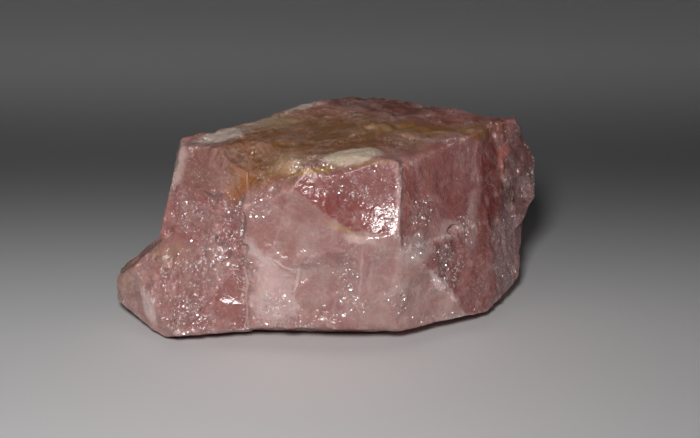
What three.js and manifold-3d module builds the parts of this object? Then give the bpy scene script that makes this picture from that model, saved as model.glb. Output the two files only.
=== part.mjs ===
// A rough chunk of rose quartz, as broken from a massive vein: one solid of hard, brittle stone with no cleavage,
// so its outside is a set of fracture faces that meet in sharp edges, with low steps where one fracture ran out
// into the next. It lies on its widest flat break.
//
// Frame: millimetres, +Z up, +X along the length, origin on the resting face at the middle of the footprint.
import * as THREE from "three";
import { mergeVertices } from "three/addons/utils/BufferGeometryUtils.js";
import Module from "manifold-3d";

const LENGTH = 110;

// The cube of stock that a block is broken from, and the far larger cube that a fracture takes away.
const STOCK = 2 * LENGTH;
const WASTE = 3 * STOCK;
const HOLLOW_SIDES = 64;

// A fracture face is a plane through a point. Its heading is the bearing that it looks to, in degrees
// anticlockwise from +X in plan, and its lean is how far it looks up: 90 is a level top, 0 an upright wall and
// -90 an underside.
const REST = { through: [0, 0, -1.5], heading: 0, lean: -90 };
const CROWN_EAST = { through: [5, 27, 49.8], heading: -20, lean: 87 };
const FRONT_PANEL = { through: [-21, -22.8, 12], heading: -86, lean: 7 };
const FRONT_CHIN = { through: [-22, -22.6, 2.2], heading: -80, lean: -60 };

// The four convex blocks that the stone is made of, each named for the side that it shows on.
const BODY = {
  base: REST,
  crownWest: { through: [5, 27, 49.8], heading: -130, lean: 86.5 },
  crownEast: CROWN_EAST,
  rearWest: { through: [-16, 17, 25], heading: 122, lean: 6 },
  rearPeak: { through: [8, 29, 30], heading: 98, lean: 12 },
  rearEast: { through: [27, 28, 25], heading: 70, lean: 14 },
  rearUnder: { through: [5, 25, 8], heading: 95, lean: -35 },
  rearHeel: { through: [34, 19, 8], heading: 62, lean: -38 },
  breast: { through: [10, -22, 44.5], heading: -84, lean: 16 },
  frontWest: { through: [-20, -21, 39], heading: -108, lean: 4 },
  frontMiddle: { through: [3.5, -26.2, 15], heading: -96, lean: 1 },
  frontTurn: { through: [3.5, -26.2, 15], heading: -86, lean: -1 },
  frontEast: { through: [29, -19.3, 15], heading: -62, lean: -1 },
  cheek: { through: [29, -19.3, 15], heading: -45, lean: 12 },
  eastFlank: { through: [37.4, -3, 47], heading: -31, lean: 11 },
  stainedSlope: { through: [-14, -17, 44], heading: -129, lean: 40 },
  crackWall: { through: [-20.5, 0, 0], heading: 180, lean: 0 },
  eastEnd: { through: [53, 8, 12], heading: -6, lean: 1 },
  heel: { through: [49.5, 4, 2.4], heading: -20, lean: -58 },
  belly: { through: [28, -19, 2.5], heading: -66, lean: -68 },
  chin: { through: [-4, -25.2, 4.2], heading: -92, lean: -60 },
};

const WEST = {
  base: REST,
  crown: { through: [-21, -10, 47.2], heading: -160, lean: 85 },
  shoulder: { through: [-29, -14, 37.6], heading: -120, lean: 26 },
  flank: { through: [-29, -14, 37.6], heading: -119, lean: 9 },
  panel: FRONT_PANEL,
  sideHigh: { through: [-39.5, 0, 38], heading: 178, lean: 10 },
  sideLow: { through: [-43, 0, 26], heading: 185, lean: 16 },
  rear: { through: [-16, 17, 25], heading: 119, lean: 6 },
  rearUnder: { through: [-30, 12, 3], heading: 115, lean: -40 },
  chin: FRONT_CHIN,
  inner: { through: [-19, 0, 0], heading: 0, lean: 0 },
};

const FOOT = {
  base: REST,
  skirt: { through: [-34, -19.8, 13.5], heading: -116, lean: 29 },
  toe: { through: [-50, -12, 5], heading: -136, lean: 5 },
  sole: { through: [-53, -8, 2.5], heading: -150, lean: -52 },
  instep: { through: [-47, -2, 16.5], heading: 172, lean: 48 },
  tip: { through: [-55, -4, 7], heading: 178, lean: 4 },
  panel: FRONT_PANEL,
  chin: FRONT_CHIN,
  rear: { through: [-45, 7, 5], heading: 112, lean: 24 },
  inner: { through: [-20, 0, 0], heading: 0, lean: 0 },
};

const KNOB = {
  face: { through: [46, 7.6, 36], heading: -56, lean: 8 },
  crown: CROWN_EAST,
  bevel: { through: [53, 12, 42], heading: -4, lean: 26 },
  end: { through: [56.4, 12, 31], heading: -3, lean: 2 },
  turnUnder: { through: [54.8, 11, 22], heading: -8, lean: -25 },
  under: { through: [52.4, 9, 18.4], heading: -15, lean: -58 },
  rear: { through: [47, 20, 30], heading: 80, lean: 17 },
  rearUnder: { through: [47, 18, 14], heading: 75, lean: -30 },
  inner: { through: [38, 0, 0], heading: 180, lean: 0 },
};

// Each step is the wedge that lies beyond all of its faces.
const RIDGE_WALL = { through: [19.3, -20, 30], heading: 0, lean: 0 };
const STEPS = {
  eastPanel: [
    { through: [28, -12.5, 40], heading: -47, lean: 11 },
    { through: [30, -15, 25], heading: -40, lean: 68 },
    RIDGE_WALL,
  ],
  eastLintel: [{ through: [30, -10.2, 45.6], heading: -50, lean: 50 }, RIDGE_WALL],
};

// Where a blow lifted a shell-shaped flake, it left a shallow round hollow: the deepest point, the way it looks,
// the radius of its curve and its depth below that side's face.
const HOLLOWS = {
  rearWest: { at: [-21, 14, 32], heading: 125, lean: 14, radius: 64, depth: 2.4 },
  rearEast: { at: [24, 23, 22], heading: 74, lean: -4, radius: 44, depth: 2 },
  rearLow: { at: [2, 24, 10], heading: 104, lean: -22, radius: 36, depth: 2 },
  instep: { at: [-46, 3, 18], heading: 150, lean: 35, radius: 22, depth: 2 },
  eastEnd: { at: [52, 17, 12], heading: 20, lean: -4, radius: 16, depth: 1.6 },
};

const wasm = await Module();
wasm.setup();

// A three.js geometry as a solid.
function solidOf(geometry) {
  const bare = geometry.clone();
  bare.deleteAttribute("normal");
  bare.deleteAttribute("uv");
  const merged = mergeVertices(bare);
  return new wasm.Manifold(
    new wasm.Mesh({
      numProp: 3,
      vertProperties: merged.attributes.position.array,
      triVerts: new Uint32Array(merged.index.array),
    }),
  );
}

// The direction that a face looks in.
function outward({ heading, lean }) {
  const turn = THREE.MathUtils.degToRad(heading);
  const rise = THREE.MathUtils.degToRad(lean);
  return new THREE.Vector3(Math.cos(rise) * Math.cos(turn), Math.cos(rise) * Math.sin(turn), Math.sin(rise));
}

// Everything that a fracture takes away, as a cube whose near side is the face.
function waste(face) {
  const normal = outward(face);
  const cube = new THREE.BoxGeometry(WASTE, WASTE, WASTE);
  const turn = new THREE.Quaternion().setFromUnitVectors(new THREE.Vector3(0, 0, 1), normal);
  const middle = new THREE.Vector3(...face.through).addScaledVector(normal, WASTE / 2);
  cube.applyMatrix4(new THREE.Matrix4().compose(middle, turn, new THREE.Vector3(1, 1, 1)));
  return solidOf(cube);
}

// A convex block: stock broken along each of its faces.
function block(faces) {
  const stock = solidOf(new THREE.BoxGeometry(STOCK, STOCK, STOCK));
  return Object.values(faces).reduce((stone, face) => stone.subtract(waste(face)), stock);
}

function wedge(faces) {
  return faces.map(waste).reduce((a, b) => a.intersect(b));
}

// The ball whose side a flake's hollow follows.
function ball({ at, radius, depth, ...facing }) {
  const middle = new THREE.Vector3(...at).addScaledVector(outward(facing), radius - depth);
  return solidOf(new THREE.SphereGeometry(radius, HOLLOW_SIDES, HOLLOW_SIDES / 2).translate(...middle));
}

const body = Object.values(STEPS).reduce((stone, step) => stone.subtract(wedge(step)), block(BODY));
const joined = body.add(block(WEST)).add(block(FOOT)).add(block(KNOB));
const stone = Object.values(HOLLOWS).reduce((solid, hollow) => solid.subtract(ball(hollow)), joined);

function geometryOf(solid) {
  const mesh = solid.getMesh();
  return new THREE.BufferGeometry()
    .setAttribute("position", new THREE.BufferAttribute(mesh.vertProperties, 3))
    .setIndex(new THREE.BufferAttribute(mesh.triVerts, 1));
}

// The stone at its real length, with the origin under the middle of its box.
function settled(geometry) {
  geometry.computeBoundingBox();
  const { min, max } = geometry.boundingBox;
  const scale = LENGTH / (max.x - min.x);
  return geometry.translate(-(min.x + max.x) / 2, -(min.y + max.y) / 2, -min.z).scale(scale, scale, scale);
}

const chunk = new THREE.Mesh(
  settled(geometryOf(stone)),
  new THREE.MeshStandardMaterial({ color: 0xc9979a, roughness: 0.35, metalness: 0 }),
);
chunk.name = "rose_quartz_chunk";

const part = new THREE.Group();
part.add(chunk);
export default part;
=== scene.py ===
# %% [markdown]
# # A rough chunk of rose quartz
# This lesson finishes one natural stone: a hand-sized lump of massive rose quartz, as it was broken from its vein.
# The CAD model already has its large fracture faces at their real size and place. What it lacks is what makes the
# stone look like quartz: the shell-shaped scars of a glassy break, the sugary texture, the milky depth, the iron
# stains and the glints. Everything here is in metres, in the CAD model's own frame.

# %% The frame
import math
import random

import bpy
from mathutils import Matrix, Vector, noise
from mathutils.bvhtree import BVHTree
from mathutils.kdtree import KDTree


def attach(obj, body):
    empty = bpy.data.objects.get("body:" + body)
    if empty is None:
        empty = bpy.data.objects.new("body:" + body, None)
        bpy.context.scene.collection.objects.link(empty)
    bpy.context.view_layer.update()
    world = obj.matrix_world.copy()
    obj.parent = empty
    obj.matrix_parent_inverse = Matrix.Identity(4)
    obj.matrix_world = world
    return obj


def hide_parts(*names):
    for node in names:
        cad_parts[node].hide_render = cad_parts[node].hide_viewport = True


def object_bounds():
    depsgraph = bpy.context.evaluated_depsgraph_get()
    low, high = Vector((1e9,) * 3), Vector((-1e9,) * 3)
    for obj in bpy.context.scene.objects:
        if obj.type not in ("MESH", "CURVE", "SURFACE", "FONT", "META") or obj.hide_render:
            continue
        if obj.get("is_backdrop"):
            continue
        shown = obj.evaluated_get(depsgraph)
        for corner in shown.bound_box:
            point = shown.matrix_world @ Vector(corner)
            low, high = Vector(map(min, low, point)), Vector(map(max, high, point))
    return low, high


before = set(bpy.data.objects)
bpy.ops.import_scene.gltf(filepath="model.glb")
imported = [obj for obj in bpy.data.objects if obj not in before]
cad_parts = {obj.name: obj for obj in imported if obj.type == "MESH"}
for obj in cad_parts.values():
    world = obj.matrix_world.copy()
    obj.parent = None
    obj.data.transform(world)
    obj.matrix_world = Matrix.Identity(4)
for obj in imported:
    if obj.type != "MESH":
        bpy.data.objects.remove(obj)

MM = 0.001
cad_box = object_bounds()
print("CAD box, mm:", [[round(v / MM, 1) for v in corner] for corner in cad_box])

# %% [markdown]
# ## The camera
# A camera shows the stone at the angle from which its best side is seen: a little above it, looking down by 22
# degrees, from an arm's length away. A longish lens keeps the perspective calm. The camera is made first, because
# every later choice is judged through it.

# %% Camera
CAMERA_AIM = Vector((5.6, -2.1, 24.8)) * MM
CAMERA_RISE = math.radians(22)
CAMERA_DISTANCE = 421 * MM
CAMERA_LENS = 83.8

away = Vector((0, -math.cos(CAMERA_RISE), math.sin(CAMERA_RISE)))
bpy.ops.object.camera_add(location=CAMERA_AIM + away * CAMERA_DISTANCE)
camera = bpy.context.object
camera.name = "camera"
camera.rotation_euler = away.to_track_quat("Z", "Y").to_euler()
camera.data.lens = CAMERA_LENS
bpy.context.scene.camera = camera
print("camera at, mm:", [round(v / MM) for v in camera.location])

# %% [markdown]
# ## The floor
# The stone stands on a large sheet of pale card that curves up far behind it, so there is no horizon. It could be two
# planes, but then a line would show where they meet. One plane whose back edge is extruded upwards, with the fold
# bevelled into a round cove, is what a studio sweep really is. The cove is about a metre away, so that the stone can
# be seen from behind as well.

# %% Floor
FLOOR_WIDTH = 3000 * MM
FLOOR_FRONT = -1500 * MM
COVE_BACK = 1300 * MM
COVE_RADIUS = 400 * MM
COVE_SEGMENTS = 16
WALL_HEIGHT = 900 * MM


def only(*objects):
    """Deselects everything, then selects these objects and makes the first one active."""
    bpy.ops.object.select_all(action="DESELECT")
    for item in objects:
        item.select_set(True)
    bpy.context.view_layer.objects.active = objects[0]


def edit(select="DESELECT", kind="VERT"):
    """Goes into edit mode on the active object, with all or nothing selected."""
    bpy.ops.object.mode_set(mode="EDIT")
    bpy.ops.mesh.select_mode(type=kind)
    bpy.ops.mesh.select_all(action=select)


def pick_edges(item, wanted):
    """Selects the edges whose middle satisfies the test."""
    bpy.ops.object.mode_set(mode="OBJECT")
    points = item.data.vertices
    for edge in item.data.edges:
        edge.select = wanted((points[edge.vertices[0]].co + points[edge.vertices[1]].co) / 2)
    bpy.ops.object.mode_set(mode="EDIT")


bpy.ops.object.select_all(action="DESELECT")
floor_depth = COVE_BACK - FLOOR_FRONT
bpy.ops.mesh.primitive_plane_add(size=1)
floor = bpy.context.object
floor.name = "floor"
edit("SELECT")
bpy.ops.transform.resize(value=(FLOOR_WIDTH, floor_depth, 1))
bpy.ops.transform.translate(value=(0, FLOOR_FRONT + floor_depth / 2, 0))
bpy.ops.mesh.select_mode(type="EDGE")
pick_edges(floor, lambda middle: middle.y > COVE_BACK - MM)
bpy.ops.mesh.extrude_region_move(TRANSFORM_OT_translate={"value": (0, 0, WALL_HEIGHT)})
pick_edges(floor, lambda middle: middle.y > COVE_BACK - MM and middle.z < MM)
bpy.ops.mesh.bevel(offset=COVE_RADIUS, segments=COVE_SEGMENTS, affect="EDGES")
bpy.ops.object.mode_set(mode="OBJECT")
bpy.ops.object.shade_smooth()
floor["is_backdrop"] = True
print("floor faces:", len(floor.data.polygons))

# %% [markdown]
# ## The light
# One small softbox stands in front of the stone, a little to the left of the camera and higher. It is kept small: a
# quartz break is full of tiny mirrors, and only a small bright source makes them flash and gives the shadow a clear
# edge. A wide dim panel overhead and a weak surround lift the shadows, as pale walls would. A low lamp behind keeps
# the back of the stone from going dark. It shines on the stone alone, and makes no reflections, so that it neither
# fills the shadow on the card nor glares on the crown. Colours are shown as they are measured, with no film curve.

# %% Lights
SURROUND_COLOUR = (0.8, 0.85, 0.9, 1)
SURROUND_STRENGTH = 0.007


def panel(name, place, aim, width, watts, spread):
    """Adds a round studio panel that looks at a point, with sizes in millimetres and its spread in degrees."""
    bpy.ops.object.light_add(type="AREA", location=Vector(place) * MM)
    lamp = bpy.context.object
    lamp.name = name
    lamp.rotation_euler = (lamp.location - Vector(aim) * MM).to_track_quat("Z", "Y").to_euler()
    lamp.data.shape = "DISK"
    lamp.data.size = width * MM
    lamp.data.energy = watts
    lamp.data.spread = math.radians(spread)
    return lamp


panel("softbox", (-26, -356, 252), (-80, 60, 0), 70, 0.66, 110)
panel("overhead", (40, -40, 700), (0, 0, 0), 500, 0.025, 180)
rear = panel("rear", (30, 450, 110), (0, 15, 25), 200, 0.09, 60)
rear.visible_glossy = False
lit_from_behind = bpy.data.collections.new("lit_from_behind")
rear.light_linking.receiver_collection = lit_from_behind
surround = bpy.data.worlds.new("surround")
bpy.context.scene.world = surround
surround.use_nodes = True
background = surround.node_tree.nodes["Background"]
background.inputs["Color"].default_value = SURROUND_COLOUR
background.inputs["Strength"].default_value = SURROUND_STRENGTH
bpy.context.scene.view_settings.view_transform = "Standard"

# %% [markdown]
# ## The stone's rough shape
# Quartz has no cleavage, so a blow breaks it along curved faces. The CAD solid gives the large ones as planes. It
# could be modelled again from a cube, but its planes are already right, so the new piece starts as a copy of its
# mesh. That mesh is loose triangles, so the copy is merged by distance before any tool works on it.

# %% Rough shape
WELD = 0.01 * MM

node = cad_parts["rose_quartz_chunk"]
stone = node.copy()
stone.data = node.data.copy()
bpy.context.scene.collection.objects.link(stone)
stone.name = "rose_quartz_stone"
stone.parent = None
only(stone)
edit("SELECT")
bpy.ops.mesh.remove_doubles(threshold=WELD)
bpy.ops.object.mode_set(mode="OBJECT")
print("rough shape:", len(stone.data.vertices), "vertices")

# %% [markdown]
# ## What each break is like
# The breaks of one stone differ. A clean one is smooth, and lets the eye into the dark red depth. One that ran
# through healed cracks is sugary and pale. Each break is known here by a point on it and the way it looks, as in the
# CAD model: its heading in degrees anticlockwise from +X, and its lean upwards. The two numbers say how deep and
# glassy it looks and how hackly its surface is, each from 0 to 1.

# %% Breaks
BREAKS = {
    # name: (point in mm, heading, lean, depth, hackle)
    "west_high": ((-28.6, -13.6, 43.0), -120, 26, 0.8, 0.25),
    "west_middle": ((-30.5, -16.9, 28.3), -119, 9, 0.68, 0.85),
    "foot_skirt": ((-35.6, -21.8, 13.0), -116, 29, 0.5, 0.75),
    "foot_toe": ((-49.3, -14.2, 7.3), -136, 5, 0.42, 0.3),
    "foot_front": ((-24.6, -24.2, 17.4), -86, 7, 0.75, 0.3),
    "front_west": ((-15.8, -24.5, 34.9), -108, 4, 0.5, 0.2),
    "front_middle": ((-0.5, -27.4, 18.8), -96, 1, 0.4, 0.25),
    "front_turn": ((13.7, -27.0, 15.9), -86, -1, 0.38, 0.2),
    "front_east": ((25.6, -21.9, 10.9), -62, -1, 0.34, 0.2),
    "breast": ((5.6, -25.6, 39.7), -84, 16, 0.88, 0.25),
    "east_panel": ((25.9, -16.0, 36.8), -47, 11, 0.8, 0.3),
    "east_lintel": ((25.4, -12.7, 47.4), -50, 50, 0.8, 0.15),
    "cheek": ((34.0, -14.7, 15.9), -45, 12, 0.72, 0.4),
    "east_flank": ((41.1, -1.9, 32.7), -31, 11, 0.85, 0.45),
    "knob_face": ((49.7, 8.6, 34.3), -56, 8, 0.6, 0.7),
    "stained_slope": ((-12.7, -19.0, 45.8), -129, 40, 0.5, 0.5),
    "crown_west": ((-1.9, -4.8, 48.6), -130, 86.5, 0.55, 0.55),
    "crown_east": ((25.9, -1.1, 48.7), -20, 87, 0.6, 0.5),
}
PLAIN_BREAK = (0.5, 0.45)
HACKLE_FLOOR = 0.2
SAME_PLANE = 0.6 * MM
SAME_FACING = math.radians(4)


def facing(heading, lean):
    """The direction that a break looks in."""
    turn, rise = math.radians(heading), math.radians(lean)
    return Vector((math.cos(rise) * math.cos(turn), math.cos(rise) * math.sin(turn), math.sin(rise)))


def qualities(centre, normal):
    """The depth and hackle of the break that a flat face belongs to."""
    for point, heading, lean, *values in BREAKS.values():
        out = facing(heading, lean)
        if normal.angle(out, math.pi) < SAME_FACING and abs((centre - Vector(point) * MM).dot(out)) < SAME_PLANE:
            return values
    return PLAIN_BREAK


face_qualities = [qualities(face.center, face.normal) for face in stone.data.polygons]
triangles = [([stone.data.vertices[i].co.copy() for i in face.vertices], face.normal.copy(), face.area)
             for face in stone.data.polygons]
planes = BVHTree.FromPolygons([v.co.copy() for v in stone.data.vertices],
                              [tuple(face.vertices) for face in stone.data.polygons])
print("faces with a named break:", sum(q is not PLAIN_BREAK for q in face_qualities), "of", len(face_qualities))

# %% [markdown]
# ## The ridges
# Where two breaks meet in a raised edge, the stone is thin and brittle, so chips and bruises sit there. The ridges
# could be picked by hand, but there are many. Instead the sharp edges are selected by their angle, and kept where
# the far face lies behind the near one, which is what makes an edge stand out instead of in.

# %% Ridges
RIDGE_ANGLE = 24

only(stone)
edit("DESELECT", "EDGE")
bpy.ops.mesh.edges_select_sharp(sharpness=math.radians(RIDGE_ANGLE))
bpy.ops.object.mode_set(mode="OBJECT")
sides = {}
for face in stone.data.polygons:
    for key in face.edge_keys:
        sides.setdefault(key, []).append((face.center.copy(), face.normal.copy()))
ridges = []
for edge in stone.data.edges:
    (centre, normal), (other_centre, other_normal) = sides[edge.key]
    if edge.select and (other_centre - centre).dot(normal) < 0:
        start, end = (stone.data.vertices[i].co.copy() for i in edge.vertices)
        ridges.append((start, end, (normal + other_normal).normalized()))
lengths = [(end - start).length for start, end, _ in ridges]
print("ridges:", len(ridges), "edges,", round(sum(lengths) / MM), "mm in all")

# %% [markdown]
# ## Shell-shaped scars
# Where a blow lifted a flake, quartz keeps a shallow round hollow like the inside of a shell. Each is cut here with a
# flattened ball: a full ball of that curve would be many millimetres high, and would bite into the next break too.
# Every boolean takes time, so balls that stay clear of each other are joined and cut as one. The large scars have a
# place of their own: they make the lobes and rims that are seen from the front.

# %% Large scars
SCARS = {
    # name: (deepest point on the break in mm, heading, lean, rim radius in mm, depth in mm)
    "belly_shell": ((2.0, -27.5, 17.0), -93, 0, 9.7, 2.0),
    "breast_lobe": ((9.5, -25.6, 38.5), -84, 15, 10.0, 2.0),
    "west_scoop": ((-33.5, -15.3, 29.0), -119, 9, 7.0, 1.0),
    "west_side": ((-24.5, -19.6, 31.0), -119, 9, 4.5, 0.8),
    "skirt_scoop": ((-36.0, -21.5, 12.5), -116, 29, 9.0, 1.2),
    "foot_scoop": ((-24.8, -24.1, 16.5), -86, 7, 5.0, 0.8),
    "front_west_scoop": ((-9.4, -26.3, 32.4), -101, 3, 9.4, 1.7),
    "chip_edge": ((-5.2, -26.9, 20.0), -96, 0, 3.4, 1.3),
    "front_fold": ((-15.5, -24.6, 37.0), -108, 4, 4.0, 0.8),
    "turn_shell": ((13.5, -27.2, 20.5), -84, 0, 6.4, 0.8),
    "east_low_shell": ((25.5, -21.8, 11.5), -62, 0, 7.5, 0.9),
    "east_scoop": ((23.6, -18.8, 38.0), -47, 11, 5.0, 1.0),
    "east_high_scoop": ((30.5, -11.4, 38.5), -47, 11, 6.0, 0.7),
    "cheek_scoop": ((32.0, -16.8, 16.5), -45, 12, 7.5, 1.3),
    "under_arch": ((4.6, -26.9, 2.6), -90, -40, 4.0, 2.0),
    "lip_flake": ((5.5, -21.5, 48.0), -104, 58, 7.0, 1.2),
    "gold_hollow": ((-15.0, -13.3, 47.1), -128, 62, 7.0, 1.2),
    "lip_hollow": ((18.0, -11.3, 48.9), -60, 80, 9.0, 1.1),
    "crown_hollow": ((-2.0, 6.0, 49.1), -110, 82, 10.0, 1.0),
    "crown_dip": ((28.0, 8.0, 48.9), -40, 82, 8.0, 0.9),
    "flank_groove": ((42.0, -1.3, 34.5), -31, 11, 5.5, 1.3),
    "knob_scoop": ((50.0, 7.7, 28.5), -56, 8, 5.0, 1.1),
    "toe_scoop": ((-49.0, -15.3, 7.0), -136, 5, 5.0, 0.8),
}
SCAR_RINGS = 40
SCAR_FLATNESS = 4
CLEARANCE = 1.6


def ball(point, out, rim, depth, flatness, rings):
    """A flattened ball that cuts a hollow of that rim radius and depth."""
    height = flatness * depth
    half_width = rim / math.sqrt(1 - (1 - 1 / flatness) ** 2)
    bpy.ops.mesh.primitive_uv_sphere_add(segments=2 * rings, ring_count=rings, radius=1,
                                         location=point + out * (height - depth),
                                         rotation=out.to_track_quat("Z", "Y").to_euler(),
                                         scale=(half_width, half_width, height))
    return bpy.context.object


def apart(hollow, group):
    """Whether a hollow stays clear of every hollow of a group."""
    return all((hollow[0] - other[0]).length > (hollow[2] + other[2]) * CLEARANCE for other in group)


def scar(target, hollows, flatness, rings):
    """Cuts hollows, each given as a point, a direction, a rim radius and a depth. Returns the number of cuts."""
    groups = []
    for hollow in hollows:
        group = next((group for group in groups if apart(hollow, group)), None)
        if group is None:
            groups.append([hollow])
        else:
            group.append(hollow)
    for group in groups:
        only(*[ball(*hollow, flatness, rings) for hollow in group])
        bpy.ops.object.join()
        balls = bpy.context.object
        only(target)
        cut = target.modifiers.new("scar", "BOOLEAN")
        cut.operation = "DIFFERENCE"
        cut.solver = "MANIFOLD"
        cut.object = balls
        bpy.ops.object.modifier_apply(modifier=cut.name)
        bpy.data.objects.remove(balls)
    return len(groups)


large = [(Vector(point) * MM, facing(heading, lean), rim * MM, depth * MM)
         for point, heading, lean, rim, depth in SCARS.values()]
print("large scars:", len(large), "in", scar(stone, large, SCAR_FLATNESS, SCAR_RINGS), "cuts")

# %% [markdown]
# ## Shells on the plain breaks
# The back was broken by the same kind of blows as the front, so it gets shells too. None of them has to lie in one
# place, so they are strewn at random, more where a break is wider. The random numbers start from a fixed seed, so
# that every run breaks the stone in the same way. None is cut under the stone, because it rests there, and none on
# faces that don't look backwards, because the front has shells of its own.

# %% Plain shells
SHELLS = 46
SHELL_RIM = (3.0, 7.5)
SHELL_DEPTH_SHARE = (0.09, 0.17)
SHELL_RINGS = 24
SHELL_TILT = 0.22
BEHIND = 0.1
UNDERSIDE = -0.3
rng = random.Random(11)


def tilt(amount):
    """A random lean to add to a direction."""
    return Vector((rng.uniform(-1, 1), rng.uniform(-1, 1), rng.uniform(-1, 1))) * amount


def strewn(shares, count):
    """Random points on the flat faces, each with the face's direction, picked by each face's share."""
    for corners, out, _ in rng.choices(triangles, weights=shares, k=count):
        u, v = sorted((rng.random(), rng.random()))
        yield corners[0] * u + corners[1] * (v - u) + corners[2] * (1 - v), out


shares = [area * (values is PLAIN_BREAK) * (out.z > UNDERSIDE) * (out.y > BEHIND)
          for (_, out, area), values in zip(triangles, face_qualities)]
shells = []
for point, out in strewn(shares, SHELLS):
    rim = rng.uniform(*SHELL_RIM)
    shells.append((point, (out + tilt(SHELL_TILT)).normalized(), rim * MM,
                   rim * rng.uniform(*SHELL_DEPTH_SHARE) * MM))
print("plain shells:", len(shells), "in", scar(stone, shells, SCAR_FLATNESS, SHELL_RINGS), "cuts")

# %% [markdown]
# ## Chipped edges
# No edge of a rough stone is straight for long: small flakes have come off all along it. They are the same kind of
# scar, only small, strewn along the ridges at random.

# %% Edge chips
CHIPS = 150
CHIP_RIM = (0.7, 2.5)
CHIP_DEPTH = (0.2, 0.55)
CHIP_LEAST = 0.4
CHIP_TILT = 0.35
CHIP_RINGS = 8
CHIP_FLATNESS = 2.5

chips = []
for start, end, out in rng.choices(ridges, weights=lengths, k=CHIPS):
    rim = CHIP_RIM[0] + (CHIP_RIM[1] - CHIP_RIM[0]) * rng.random() ** 2
    deep = rng.uniform(*CHIP_DEPTH) * (CHIP_LEAST + rim / CHIP_RIM[1])
    chips.append((start.lerp(end, rng.random()), (out + tilt(CHIP_TILT)).normalized(), rim * MM, deep * MM))
print("chips:", len(chips), "in", scar(stone, chips, CHIP_FLATNESS, CHIP_RINGS), "cuts")

# %% [markdown]
# ## Hackly breaks
# A break that runs through small crystals is not one shell but many, each a millimetre or two wide, and they meet in
# crisp crests. The same scars are strewn over the hackly breaks, most where the hackle is strongest. They lean at
# random, so that some are cut deep on one side and run out on the other. None is cut under the stone.

# %% Hackle scars
FLAKES = 420
FLAKE_RIM = (0.8, 2.6)
FLAKE_DEPTH = (0.15, 0.5)
FLAKE_TILT = 0.4

shares = [area * max(values[1] - HACKLE_FLOOR, 0.0) ** 2 * (out.z > UNDERSIDE)
          for (_, out, area), values in zip(triangles, face_qualities)]
flakes = []
for point, out in strewn(shares, FLAKES):
    flakes.append((point, (out + tilt(FLAKE_TILT)).normalized(), rng.uniform(*FLAKE_RIM) * MM,
                   rng.uniform(*FLAKE_DEPTH) * MM))
print("flakes:", len(flakes), "in", scar(stone, flakes, CHIP_FLATNESS, CHIP_RINGS), "cuts")

# %% [markdown]
# ## Even skin
# The cuts leave long thin triangles, and the fine relief that comes next needs points everywhere. A voxel remesh
# wraps the stone in an even net of half-millimetre squares.

# %% Even skin
VOXEL = 0.5 * MM

only(stone)
skin = stone.modifiers.new("skin", "REMESH")
skin.mode = "VOXEL"
skin.voxel_size = VOXEL
bpy.ops.object.modifier_apply(modifier=skin.name)
print("skin:", len(stone.data.vertices), "vertices,", len(stone.data.polygons), "faces")

# %% [markdown]
# ## Painting the breaks onto the skin
# Each point of the new skin looks up the flat break that it lies nearest to, and keeps that break's depth and hackle
# as attributes of its own. The hackle comes and goes in patches of some millimetres, as it does on a real break. The
# skin also keeps its distance to the nearest ridge, in millimetres, because the wear follows the ridges. The
# material and the relief both read them.

# %% Break attributes
BASE_BAND = 0.9 * MM
RIDGE_STEP = 0.4 * MM
PATCH = 6 * MM
PATCH_MIDDLE = 0.65
PATCH_SWING = 1.5

marks_along = []
for (start, end, _), length in zip(ridges, lengths):
    steps = max(math.ceil(length / RIDGE_STEP), 1)
    marks_along += [start.lerp(end, i / steps) for i in range(steps + 1)]
nearest = KDTree(len(marks_along))
for i, point in enumerate(marks_along):
    nearest.insert(point, i)
nearest.balance()

patch_shares = [min(max(PATCH_MIDDLE + PATCH_SWING * noise.noise(vertex.co / PATCH), 0.0), 1.0)
                for vertex in stone.data.vertices]
painted = [face_qualities[planes.find_nearest(vertex.co)[2]] for vertex in stone.data.vertices]
columns = {
    "depth": [values[0] for values in painted],
    "hackle": [values[1] * share for values, share in zip(painted, patch_shares)],
    "ridge_mm": [nearest.find(vertex.co)[2] / MM for vertex in stone.data.vertices],
}
for name, column in columns.items():
    stone.data.attributes.new(name, "FLOAT", "POINT")
    stone.data.attributes[name].data.foreach_set("value", column)
hackly = stone.vertex_groups.new(name="hackly")
shaped = stone.vertex_groups.new(name="shaped")
for vertex, hackle in zip(stone.data.vertices, columns["hackle"]):
    free = min(max(vertex.co.z / BASE_BAND, 0.0), 1.0)
    hackly.add([vertex.index], max(hackle - HACKLE_FLOOR, 0.0) * free, "REPLACE")
    shaped.add([vertex.index], free, "REPLACE")
print("painted", len(stone.data.vertices), "points,", len(marks_along), "ridge marks")

# %% [markdown]
# ## Relief
# The skin is pushed in and out along its normals in four passes: slow swells that bend every plane a little, low
# shell ripples on them, an angular hackle of a few millimetres where the break is rough, and a finer one on top of
# it. A Voronoi pattern is lowest at the middle of each cell and comes to a sharp crest between cells, which is what
# gives the hackle its small hollow facets.

# %% Relief
RELIEFS = (
    # name, texture type, size in mm, height in mm, vertex group
    ("swell", "CLOUDS", 11.0, 0.9, "shaped"),
    ("ripple", "CLOUDS", 4.0, 0.4, "shaped"),
    ("hackle", "VORONOI", 4.2, 1.1, "hackly"),
    ("grit", "VORONOI", 1.8, 0.3, "hackly"),
)

for name, kind, size, height, group in RELIEFS:
    texture = bpy.data.textures.new(name, kind)
    texture.noise_scale = size * MM
    if kind == "VORONOI":
        texture.distance_metric = "MANHATTAN"
    relief = stone.modifiers.new(name, "DISPLACE")
    relief.texture = texture
    relief.texture_coords = "LOCAL"
    relief.strength = height * MM
    relief.vertex_group = group
    bpy.ops.object.modifier_apply(modifier=relief.name)

lowest = min(v.co.z for v in stone.data.vertices)
for vertex in stone.data.vertices:
    vertex.co.z = max(vertex.co.z, 0.0)
bpy.ops.object.shade_smooth()
print("lowest point before the base was levelled, mm:", round(lowest / MM, 2))

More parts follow.
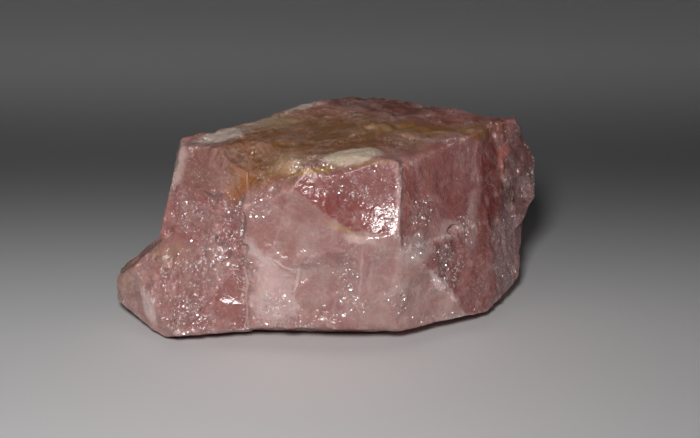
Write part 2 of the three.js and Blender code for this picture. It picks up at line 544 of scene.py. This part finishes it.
# %% [markdown]
# ## The quartz
# Massive rose quartz is milky: light goes in, is scattered by countless tiny needles and healed cracks, and comes out
# pink some millimetres away. So the material is a subsurface one, with the index of refraction of quartz, and a
# colour that runs from a pale frosted pink, where the break is bruised, to a deep red, where it is clean. Places are
# read in millimetres, so a pattern's scale is in waves to the millimetre: 0.22 makes waves of about 4.5 mm.

# %% Colours and the node helper
def srgb(code):
    """A linear colour from an sRGB hex value."""
    parts = [int(code[i : i + 2], 16) / 255 for i in (1, 3, 5)]
    return [v / 12.92 if v <= 0.04045 else ((v + 0.055) / 1.055) ** 2.4 for v in parts] + [1.0]


PALE = srgb("#b9a29b")
ROSE = srgb("#9b726d")
DEEP = srgb("#874a47")
QUARTZ_IOR = 1.54
WOBBLE_SCALE = 0.22
RAGGED_REACH = 7
CRISP_REACH = 2
FINE_SCALE = 1.3
EDGE_GRAIN = 0.9

quartz = bpy.data.materials.new("rose_quartz_raw_break")
quartz.use_nodes = True
tree = quartz.node_tree
tree.nodes.clear()


def add(kind, inputs=None, **settings):
    """Adds a node with its settings, links or sets its inputs, and returns its first live output."""
    made = tree.nodes.new("ShaderNode" + kind)
    for name, value in settings.items():
        setattr(made, name, value)
    for name, value in (inputs or {}).items():
        if isinstance(value, bpy.types.NodeSocket):
            tree.links.new(value, made.inputs[name])
        else:
            made.inputs[name].default_value = value
    return next((socket for socket in made.outputs if socket.enabled), None)


place = add("VectorMath", {0: add("TexCoord").node.outputs["Object"], 1: (1 / MM,) * 3}, operation="MULTIPLY")
wobble = add("TexNoise", {"Vector": place, "Scale": WOBBLE_SCALE, "Detail": 4.0}).node.outputs["Color"]
shift = add("VectorMath", {0: wobble, 1: (0.5,) * 3}, operation="SUBTRACT")
ragged = add("VectorMath", {0: shift, 1: (RAGGED_REACH,) * 3, 2: place}, operation="MULTIPLY_ADD")
crisp = add("VectorMath", {0: shift, 1: (CRISP_REACH,) * 3, 2: place}, operation="MULTIPLY_ADD")
fine = add("TexNoise", {"Vector": place, "Scale": FINE_SCALE, "Detail": 4.0, "Roughness": 0.6})
grainy = add("Math", {0: fine, 1: EDGE_GRAIN, 2: -EDGE_GRAIN / 2}, operation="MULTIPLY_ADD")
depth, hackle, ridge_mm = (add("Attribute", attribute_name=name).node.outputs["Fac"] for name in columns)
print("material:", quartz.name)

# %% [markdown]
# ### Body colour
# The depth attribute picks the colour of each break, and a cloudy noise of about a centimetre moves it up and down,
# as the milkiness does in the real stone.

# %% Body colour
CLOUD_SCALE = 0.11
CLOUD_SWING = 0.9
ROSE_AT = 0.45

clouds = add("TexNoise", {"Vector": place, "Scale": CLOUD_SCALE, "Detail": 5.0, "Roughness": 0.6,
                          "Distortion": 0.6})
cloudy = add("Math", {0: clouds, 1: CLOUD_SWING, 2: -CLOUD_SWING / 2}, operation="MULTIPLY_ADD")
deepness = add("Math", {0: depth, 1: cloudy}, operation="ADD", use_clamp=True)
ramp = add("ValToRGB", {"Fac": deepness}).node
ramp.color_ramp.elements[0].color = PALE
ramp.color_ramp.elements[1].color = DEEP
ramp.color_ramp.elements.new(ROSE_AT).color = ROSE
colour = ramp.outputs["Color"]
print("body colours:", len(ramp.color_ramp.elements), "from pale to deep")

# %% [markdown]
# ### Marks
# Iron-bearing water has stained the crown golden and brown, and there are white bruises, a cream flake and dark
# patches. Two of the marks are painted light: the dark patch on the high west break is partly its own greyer colour
# and partly painted shade, and the pale strip on the bevel under the breast's gold crack is a painted highlight.
# Each mark is a soft ball with its own centre, size and turn, set by a Mapping node. Its outline is made ragged by
# reading a place that noise has moved, and its edge is broken into grains by the finest noise. The same kind of
# blot also places the sugary patches further on.

# %% Marks
MARKS = {
    # name: (outline, centre mm, size mm, turn about each axis in degrees, colour, strength, softness)
    "crown_brown": (ragged, (-3, -3, 48.5), (27, 17, 5), (0, 0, 0), "#754d29", 0.9, 0.5),
    "dark_crown": (ragged, (14, 18, 49.5), (19, 6, 5), (0, 0, -20), "#5c3226", 0.85, 0.4),
    "dark_crown_east": (ragged, (37, 7, 48.5), (13, 6, 4), (0, 0, 0), "#7a4238", 0.85, 0.4),
    "gold_slope": (ragged, (-14, -17, 45.5), (12, 8, 5), (0, 0, 0), "#7e5226", 0.85, 0.5),
    "gold_east": (ragged, (24, 0, 48.5), (21, 5, 3), (0, 0, 8), "#835b2b", 0.85, 0.5),
    "crown_pale": (ragged, (-17, 8, 48.5), (9, 7, 3), (0, 0, 0), "#a08a72", 0.6, 0.5),
    "slope_pale": (ragged, (-9, -19, 46.0), (5, 3, 3), (0, 0, 0), "#bfa183", 0.6, 0.6),
    "west_stain": (crisp, (-21.5, -18, 41), (3, 4, 5.5), (0, 25, 0), "#96603c", 0.85, 0.4),
    "lip_gold": (crisp, (2, -24, 46.6), (13, 3, 0.6), (0, -7, 0), "#a17e3e", 0.85, 0.5),
    "crack_gold": (crisp, (4, -28.3, 32.2), (5, 3, 0.6), (0, 30, 0), "#a98d66", 0.55, 0.6),
    "toe_tan": (ragged, (-53, -9, 13.0), (4, 8, 5), (0, 0, 0), "#a07a5a", 0.4, 0.6),
    "skirt_tan": (ragged, (-40, -13, 20.5), (9, 4, 2), (0, 0, 0), "#a98a6c", 0.4, 0.7),
    "white_west": (ragged, (-27, -2, 48), (7, 4, 3), (0, 0, 20), "#cfc2b8", 0.6, 0.25),
    "white_rear": (ragged, (-7.5, 16, 49.5), (5, 3, 2), (0, 0, 30), "#c6bab0", 0.65, 0.25),
    "cream_flake": (crisp, (6.5, -18.5, 48.5), (8, 3.6, 3), (0, 0, 12), "#c6b49e", 0.8, 0.2),
    "raised_chip": (ragged, (-14, -26.5, 15.0), (6.5, 4, 8.5), (0, -12, 0), "#cdb0ac", 0.6, 0.2),
    "chip_frost": (ragged, (-16.8, -24.8, 24.6), (4.6, 3, 2.2), (0, 26, 0), "#d2beb9", 0.5, 0.6),
    "chip_rim_top": (crisp, (-10.4, -26.4, 22.2), (3.4, 3, 0.3), (0, 27, 0), "#dccac5", 0.5, 0.8),
    "chip_rim_side": (crisp, (-7.5, -26.8, 18.0), (0.3, 3, 3.6), (0, 8, 0), "#dccac5", 0.45, 0.8),
    "belly_fold": (crisp, (8.3, -27.7, 20.0), (0.3, 3, 6.5), (0, 3, 0), "#ccb1ad", 0.35, 0.8),
    # partly the high west break's own greyer colour, partly painted shade on that side of the stone
    "west_painted_shade": (ragged, (-30, -13, 42), (10, 8, 6), (0, 0, 0), "#7d6258", 0.5, 0.5),
    "toe_crescent": (crisp, (-45.6, -18.4, 8), (1.9, 3.4, 6.5), (0, -24, 0), "#cdb4af", 0.8, 0.3),
    "west_band": (crisp, (-37.5, -8, 42.5), (1.8, 5, 7), (0, 8, 0), "#b5a098", 0.7, 0.5),
    "ledge_frost": (ragged, (22.6, -23, 25.4), (5.5, 5, 3.2), (0, 0, 0), "#c0aca8", 0.6, 0.6),
    "diagonal_bruise": (ragged, (28.5, -20, 14.5), (1.1, 3, 10), (0, -44, 0), "#d0b9b5", 0.75, 0.4),
    # painted highlight: the pale strip on the up-facing bevel under the gold crack stands in for light falling on it
    "ledge_painted_highlight": (crisp, (8, -28, 29.6), (4, 3, 1.0), (0, 15, 0), "#cdb6ac", 0.6, 0.5),
    "breast_rim": (crisp, (17.4, -24.8, 38), (0.8, 4, 11), (0, 0, 0), "#c4a4a0", 0.6, 0.6),
    "crack_line": (crisp, (-20.2, -23.5, 14.5), (0.25, 9, 12), (0, 0, 0), "#d6c3b4", 0.3, 0.5),
    "ridge_streaks": (ragged, (37.4, -8, 31), (1.6, 4, 17), (0, 8, 0), "#bd9b97", 0.6, 0.6),
    "panel_frost": (ragged, (31, -14.5, 27), (5, 5, 2.0), (0, 0, 0), "#c2a6a2", 0.55, 0.7),
    "knob_grey": (ragged, (50, 9, 32.5), (7, 11, 15), (0, 0, 0), "#5f403e", 0.85, 0.5),
    "heel_grey": (ragged, (47, 1, 13), (7, 9, 12), (0, 0, 0), "#a48584", 0.6, 0.5),
    "flank_dark": (crisp, (41.5, -1.3, 32.5), (3.6, 7, 15), (0, 8, 0), "#7c3b35", 0.8, 0.5),
    "flank_red": (crisp, (45, 5.2, 37.5), (1.3, 4, 7), (0, 10, 0), "#b46a60", 0.7, 0.5),
}


def blot(outline, centre, size, turn, soft, strength):
    """A soft-edged ball: its strength inside, and 0 outside."""
    own = add("Mapping", {"Vector": outline, "Location": centre, "Rotation": [math.radians(a) for a in turn],
                          "Scale": size}, vector_type="TEXTURE")
    reach = add("VectorMath", {0: own}, operation="LENGTH").node.outputs["Value"]
    reach = add("Math", {0: reach, 1: grainy}, operation="ADD")
    return add("MapRange", {"Value": reach, "From Min": 1 + soft, "From Max": 1 - soft, "To Max": strength},
               interpolation_type="SMOOTHSTEP")


for outline, centre, size, turn, tint, strength, soft in MARKS.values():
    cover = blot(outline, centre, size, turn, soft, strength)
    colour = add("MixRGB", {"Fac": cover, "Color1": colour, "Color2": srgb(tint)})
print("marks:", len(MARKS))

# %% [markdown]
# ### Veils
# Healed cracks inside the stone show as soft white veils. They could be sheets modelled inside a clear body, but this
# one is milky, so a veil is no more than a paler cloud at its surface. It is drawn where a smooth noise passes
# through its middle value, which gives long thin bands that wander.

# %% Veils
VEIL = srgb("#d3b8b3")
VEIL_SCALE = 0.07
VEIL_REACH = 0.05
VEIL_STRENGTH = 0.16

bands = add("TexNoise", {"Vector": place, "Scale": VEIL_SCALE, "Detail": 5.0, "Roughness": 0.65,
                         "Distortion": 0.4})
off_band = add("Math", {0: bands, 1: 0.5}, operation="SUBTRACT")
distance = add("Math", {0: off_band}, operation="ABSOLUTE")
veil = add("MapRange", {"Value": distance, "From Min": VEIL_REACH, "From Max": 0.0, "To Max": VEIL_STRENGTH})
colour = add("MixRGB", {"Fac": veil, "Color1": colour, "Color2": VEIL})
print("veils up to", VEIL_STRENGTH, "strong")

# %% [markdown]
# ### Crushed grains
# Where grains are crushed there is a fine white powder: in specks on the hackly breaks, and in a broken line along
# the ridges. The powder on the ridges reads the distance to the nearest one, shifted by noise, and both come and go
# in patches of some millimetres.

# %% Crushed grains
POWDER = srgb("#eadfdb")
SPECK_SCALE = 1.2
SPECK_RANGE = (0.57, 0.65)
SPECK_STRENGTH = 0.85
PATCH_SCALE = 0.16
PATCH_RANGE = (0.46, 0.62)
PATCH_LEAST = 0.05
SMOOTH_SHARE = 0.15
ROUGH_SHARE = 0.9
WORN_MM = 1.1
WORN_STRENGTH = 0.75
WORN_SHIFT = (-7.0, 4.1)

specks = add("TexNoise", {"Vector": place, "Scale": SPECK_SCALE, "Detail": 5.0, "Roughness": 0.7,
                          "Distortion": 0.8})
speck = add("MapRange", {"Value": specks, "From Min": SPECK_RANGE[0], "From Max": SPECK_RANGE[1],
                         "To Max": SPECK_STRENGTH})
patches = add("TexNoise", {"Vector": place, "Scale": PATCH_SCALE, "Detail": 3.0})
patchy = add("MapRange", {"Value": patches, "From Min": PATCH_RANGE[0], "From Max": PATCH_RANGE[1],
                          "To Min": PATCH_LEAST})
rough_share = add("Math", {0: hackle, 1: ROUGH_SHARE, 2: SMOOTH_SHARE}, operation="MULTIPLY_ADD")
crushed = add("Math", {0: patchy, 1: rough_share}, operation="MULTIPLY")
speckled = add("Math", {0: speck, 1: crushed}, operation="MULTIPLY")

ridge_noise = add("Math", {0: specks, 1: WORN_SHIFT[0], 2: WORN_SHIFT[1]}, operation="MULTIPLY_ADD")
ridge_reach = add("Math", {0: ridge_mm, 1: ridge_noise}, operation="ADD")
worn = add("MapRange", {"Value": ridge_reach, "From Min": WORN_MM, "From Max": 0.0, "To Max": WORN_STRENGTH})
worn = add("Math", {0: worn, 1: patchy}, operation="MULTIPLY")
bruise = add("Math", {0: speckled, 1: worn}, operation="MAXIMUM")
colour = add("MixRGB", {"Fac": bruise, "Color1": colour, "Color2": POWDER})
print("ridges are worn to", WORN_MM, "mm from the edge")

# %% [markdown]
# ### Streaks and mottle
# The east flank has short pale upright streaks. They could be bruises of their own, like the marks, but there are too
# many, so they come from a noise that a Mapping node draws out along Z. Every break is a little mottled as well, the
# hackly ones most.

# %% Streaks and mottle
STREAK = srgb("#c9aca7")
STREAK_SCALE = (0.8, 0.8, 0.3)
STREAK_RANGE = (0.59, 0.7)
STREAK_STRENGTH = 0.5
FLANK_CENTRE = (46, -4, 27)
FLANK_SIZE = (13, 17, 24)
FLANK_SOFTNESS = 0.3
MOTTLE_SCALE = 0.4
MOTTLE_LEAST = 0.3
MOTTLE_ROUGH = 1.6

upright = add("Mapping", {"Vector": place, "Scale": STREAK_SCALE})
streaks = add("TexNoise", {"Vector": upright, "Scale": 1.0, "Detail": 4.0, "Roughness": 0.6, "Distortion": 0.3})
streak = add("MapRange", {"Value": streaks, "From Min": STREAK_RANGE[0], "From Max": STREAK_RANGE[1],
                          "To Max": STREAK_STRENGTH})
flank = blot(ragged, FLANK_CENTRE, FLANK_SIZE, (0, 0, 0), FLANK_SOFTNESS, 1.0)
streaked = add("Math", {0: streak, 1: flank}, operation="MULTIPLY")
colour = add("MixRGB", {"Fac": streaked, "Color1": colour, "Color2": STREAK})

blotches = add("TexNoise", {"Vector": place, "Scale": MOTTLE_SCALE, "Detail": 5.0, "Roughness": 0.6,
                            "Distortion": 1.0})
swing = add("Math", {0: blotches, 1: 0.5}, operation="SUBTRACT")
swing_share = add("Math", {0: hackle, 1: MOTTLE_ROUGH, 2: MOTTLE_LEAST}, operation="MULTIPLY_ADD")
mottle = add("Math", {0: swing, 1: swing_share, 2: 1.0}, operation="MULTIPLY_ADD")
colour = add("VectorMath", {0: colour, "Scale": mottle}, operation="SCALE")
print("nodes so far:", len(tree.nodes))

# %% [markdown]
# ### Fine relief
# Under the light even a smooth break shows flowing folds, like the inside of a shell, and a fine grain. A hackly one
# also has small facets of about a millimetre. These are too low to be worth points of the mesh, so they are bumps:
# heights of a fraction of a millimetre.

# %% Fine relief
FOLD_SCALE = 0.3
FOLD_STRENGTH = 0.45
FOLD_HEIGHT = 0.0008
FACET_SCALE = 0.45
FACET_HEIGHT = 0.0004
GRAIN_LEAST = 0.08
GRAIN_ROUGH = 0.4
GRAIN_HEIGHT = 0.0005

folds = add("TexNoise", {"Vector": place, "Scale": FOLD_SCALE, "Detail": 3.0, "Roughness": 0.5,
                         "Distortion": 1.4})
fold_normal = add("Bump", {"Height": folds, "Strength": FOLD_STRENGTH, "Distance": FOLD_HEIGHT})
facets = add("TexVoronoi", {"Vector": crisp, "Scale": FACET_SCALE}, distance="MANHATTAN")
facet_normal = add("Bump", {"Height": facets, "Strength": hackle, "Distance": FACET_HEIGHT,
                            "Normal": fold_normal})
grain_share = add("Math", {0: hackle, 1: GRAIN_ROUGH, 2: GRAIN_LEAST}, operation="MULTIPLY_ADD")
normal = add("Bump", {"Height": fine, "Strength": grain_share, "Distance": GRAIN_HEIGHT,
                      "Normal": facet_normal})
print("bumps up to", FOLD_HEIGHT / MM, "mm high")

# %% [markdown]
# ### Sugary patches
# Where the break ran through small crystals, it left a crowd of flat mirrors, each tilted its own way, and the ones
# that face the light flash white. Under a glass they are a few tenths of a millimetre wide. They are drawn 0.45 mm
# wide here, which is as fine as still shows in the render. Each patch has its own place, and weak stray sugar lies
# on every hackly break.

# %% Where the sugar lies
STRAY = 0.35
SUGAR_SOFTNESS = 0.5
# The same patches also set where the painted glints of the next cell are drawn.
SUGAR = {
    # name: (centre mm, size mm, strength)
    "west_spark": ((-34.5, -13.6, 31.2), (4, 4, 4), 1.0),
    "west_edge": ((-23.0, -21.0, 31.5), (3, 4, 8), 0.9),
    "west_foot": ((-29.0, -19.5, 23.5), (9, 5, 4), 1.0),
    "skirt_low": ((-34.5, -25.0, 8.0), (7, 6, 5), 1.0),
    "skirt_top": ((-33.0, -19.5, 18.5), (8, 5, 3.5), 0.7),
    "crack_side": ((-22.0, -24.5, 21.0), (3, 4, 4), 0.8),
    "chip_flash": ((-12.8, -26.4, 11.5), (3.5, 3, 4), 0.9),
    "front_top": ((-16.0, -24.5, 36.5), (2.5, 3, 3), 0.8),
    "belly_flash": ((4.4, -27.6, 20.0), (2.6, 3, 4.5), 1.0),
    "belly_low": ((6.5, -27.6, 12.5), (4, 3, 3.5), 0.6),
    "breast_high": ((10.0, -25.4, 42.0), (8, 5, 5.0), 0.7),
    "breast_corner": ((15.0, -26.4, 34.5), (2.4, 3, 3.5), 0.4),
    "turn_low": ((17.5, -26.8, 13.0), (3, 3, 3), 0.7),
    "panel_spark": ((23.0, -19.0, 33.5), (4, 4, 4), 0.8),
    "ledge_spark": ((20.5, -23.0, 26.5), (4.5, 5, 2.6), 0.7),
    "cheek_spark": ((30.5, -17.5, 18.5), (5, 5, 6), 1.0),
    "ridge_spark": ((35.5, -11.5, 27.0), (3, 4, 6), 0.6),
    "heel_spark": ((46.0, 0.0, 15.0), (6, 7, 10), 0.6),
    "slope_spark": ((-3.0, -21.0, 47.0), (7, 4, 3), 0.7),
    "hem_east": ((27.0, -20.0, 5.5), (10, 6, 2), 0.35),
    "hem_west": ((-12.0, -26.0, 6.5), (12, 5, 2.5), 0.35),
}

sugar = add("Math", {0: patchy, 1: hackle}, operation="MULTIPLY")
sugar = add("Math", {0: sugar, 1: STRAY}, operation="MULTIPLY")
for centre, size, strength in SUGAR.values():
    patch = blot(ragged, centre, size, (0, 0, 0), SUGAR_SOFTNESS, strength)
    sugar = add("Math", {0: sugar, 1: patch}, operation="MAXIMUM")
print("sugary patches:", len(SUGAR))

# %% [markdown]
# ### Mirrors, white grains and painted glints
# The crystals tip in small families: every Voronoi cell adds its own random tilt to that of the larger cell it lies
# in. The mirrors are a clear coat over the stone, with a normal of its own, so the milky body below keeps its soft
# shading. The coat also stands for cracks just under the break, which reflect more than the break itself, so its
# index is above that of quartz. Between the mirrors lie clumps of near-white specks in the base colour: partly
# crushed white grains, partly painted glints that stay bright under any lamp.

# %% Mirrors and white grains
MIRROR = 0.45
MIRROR_TILT = 1.5
FAMILY = 1.6
FAMILY_TILT = 1.0
GRAIN = 0.7
GRAIN_RANGE = (0.57, 0.63)
CLUMP = 2.2
CLUMP_RANGE = (0.42, 0.58)
GLINT_AND_GRAIN_WHITE = srgb("#fbf5f3")

families = add("TexVoronoi", {"Vector": crisp, "Scale": 1 / FAMILY}).node.outputs["Color"]
mirrors = add("TexVoronoi", {"Vector": place, "Scale": 1 / MIRROR}).node.outputs["Color"]
leaning = normal
for tint, amount in ((families, FAMILY_TILT), (mirrors, MIRROR_TILT)):
    centred = add("VectorMath", {0: tint, 1: (0.5,) * 3}, operation="SUBTRACT")
    leaning = add("VectorMath", {0: centred, 1: (amount,) * 3, 2: leaning}, operation="MULTIPLY_ADD")
mirror_normal = add("VectorMath", {0: leaning}, operation="NORMALIZE")

grains = add("TexNoise", {"Vector": place, "Scale": 1 / GRAIN, "Detail": 3.0, "Roughness": 0.6,
                          "Distortion": 0.9})
grain = add("MapRange", {"Value": grains, "From Min": GRAIN_RANGE[0], "From Max": GRAIN_RANGE[1]})
clumps = add("TexNoise", {"Vector": place, "Scale": 1 / CLUMP, "Detail": 2.0})
clump = add("MapRange", {"Value": clumps, "From Min": CLUMP_RANGE[0], "From Max": CLUMP_RANGE[1]})
# painted glints: near-white specks in the base colour, partly crushed grains, partly standing in for flashes of light
white = add("Math", {0: grain, 1: clump}, operation="MULTIPLY")
white = add("Math", {0: white, 1: sugar}, operation="MULTIPLY")
colour = add("MixRGB", {"Fac": white, "Color1": colour, "Color2": GLINT_AND_GRAIN_WHITE})
print("mirrors", MIRROR, "mm wide in families of", FAMILY, "mm")

# %% [markdown]
# ### The surface
# A fresh break is glossy, a bruised one is matt, so the roughness follows the bruises. The crown is an old break that
# has weathered, so it is duller than the rest: a little roughness is added with height. Light that enters the
# quartz travels some millimetres before it comes out again, and red travels furthest.

# %% Surface
GLOSS = (0.12, 0.32)
GLOSS_RANGE = (0.35, 0.7)
BRUISE_ROUGH = 0.4
CROWN_START = 44.0
CROWN_FULL = 47.5
WEATHERED = 0.28
MILKY = 0.8
MILKY_LOSS = 0.7
SCATTER = 0.0022
SCATTER_COLOURS = (1.0, 0.42, 0.36)
MIRROR_ROUGH = 0.2
CRACK_IOR = 2.1

level = add("SeparateXYZ", {"Vector": place}).node.outputs["Z"]
weathered = add("MapRange", {"Value": level, "From Min": CROWN_START, "From Max": CROWN_FULL,
                             "To Max": WEATHERED})
rough = add("MapRange", {"Value": fine, "From Min": GLOSS_RANGE[0], "From Max": GLOSS_RANGE[1],
                         "To Min": GLOSS[0], "To Max": GLOSS[1]})
rough = add("Math", {0: rough, 1: weathered}, operation="ADD")
roughness = add("Math", {0: bruise, 1: BRUISE_ROUGH, 2: rough}, operation="MULTIPLY_ADD", use_clamp=True)
milky = add("Math", {0: bruise, 1: -MILKY_LOSS, 2: MILKY}, operation="MULTIPLY_ADD", use_clamp=True)
surface = add("BsdfPrincipled", {
    "Base Color": colour, "Roughness": roughness, "IOR": QUARTZ_IOR, "Normal": normal,
    "Subsurface Weight": milky, "Subsurface Radius": SCATTER_COLOURS, "Subsurface Scale": SCATTER,
    "Coat Weight": sugar, "Coat Roughness": MIRROR_ROUGH, "Coat IOR": CRACK_IOR, "Coat Normal": mirror_normal,
})
add("OutputMaterial", {"Surface": surface})
stone.data.materials.clear()
stone.data.materials.append(quartz)
print("quartz:", len(tree.nodes), "nodes")

# %% [markdown]
# ## The card
# The floor is matt pale card. A soft grey band is painted on it behind the stone: painted shade, standing in for
# the light that falls off towards the back, and it lets the stone's crown stand out against it. It has no pattern
# that would compete with the stone.

# %% Card material
CARD = srgb("#f5f4f4")
# the grey of the painted shade behind the stone
PAINTED_SHADE_GREY = srgb("#909091")
SHADE_START = -28 * MM
SHADE_DARKEST = 112 * MM
SHADE_END = 245 * MM
CARD_ROUGH = 0.7

card = bpy.data.materials.new("matt_pale_card")
card.use_nodes = True
tree = card.node_tree
tree.nodes.clear()
card_place = add("TexCoord").node.outputs["Object"]
backward = add("SeparateXYZ", {"Vector": card_place}).node.outputs["Y"]
# painted shade: the card is darkened in a soft band behind the stone, where the light falls off
fade = add("MapRange", {"Value": backward, "From Min": SHADE_START, "From Max": SHADE_DARKEST},
           interpolation_type="SMOOTHSTEP")
back = add("MapRange", {"Value": backward, "From Min": SHADE_DARKEST, "From Max": SHADE_END},
           interpolation_type="SMOOTHSTEP")
band = add("Math", {0: fade, 1: back}, operation="SUBTRACT")
card_colour = add("MixRGB", {"Fac": band, "Color1": CARD, "Color2": PAINTED_SHADE_GREY})
card_surface = add("BsdfPrincipled", {"Base Color": card_colour, "Roughness": CARD_ROUGH})
add("OutputMaterial", {"Surface": card_surface})
floor.data.materials.append(card)
print("card:", len(tree.nodes), "nodes, darkest", round(SHADE_DARKEST / MM), "mm behind the stone's middle")

# %% [markdown]
# ## Handing over
# The finished stone is put in the rear lamp's light, rides on the model's one body and stands for its CAD node. The
# two boxes are written down, so that the size of the finished stone can be compared with the CAD model's.

# %% Hand over
lit_from_behind.objects.link(stone)
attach(stone, "root")
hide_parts("rose_quartz_chunk")
boxes = {"cad": cad_box, "visual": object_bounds()}
{name: [list(corner) for corner in box] for name, box in boxes.items()}
print("stone box, mm:", [[round(v / MM, 1) for v in corner] for corner in boxes["visual"]])
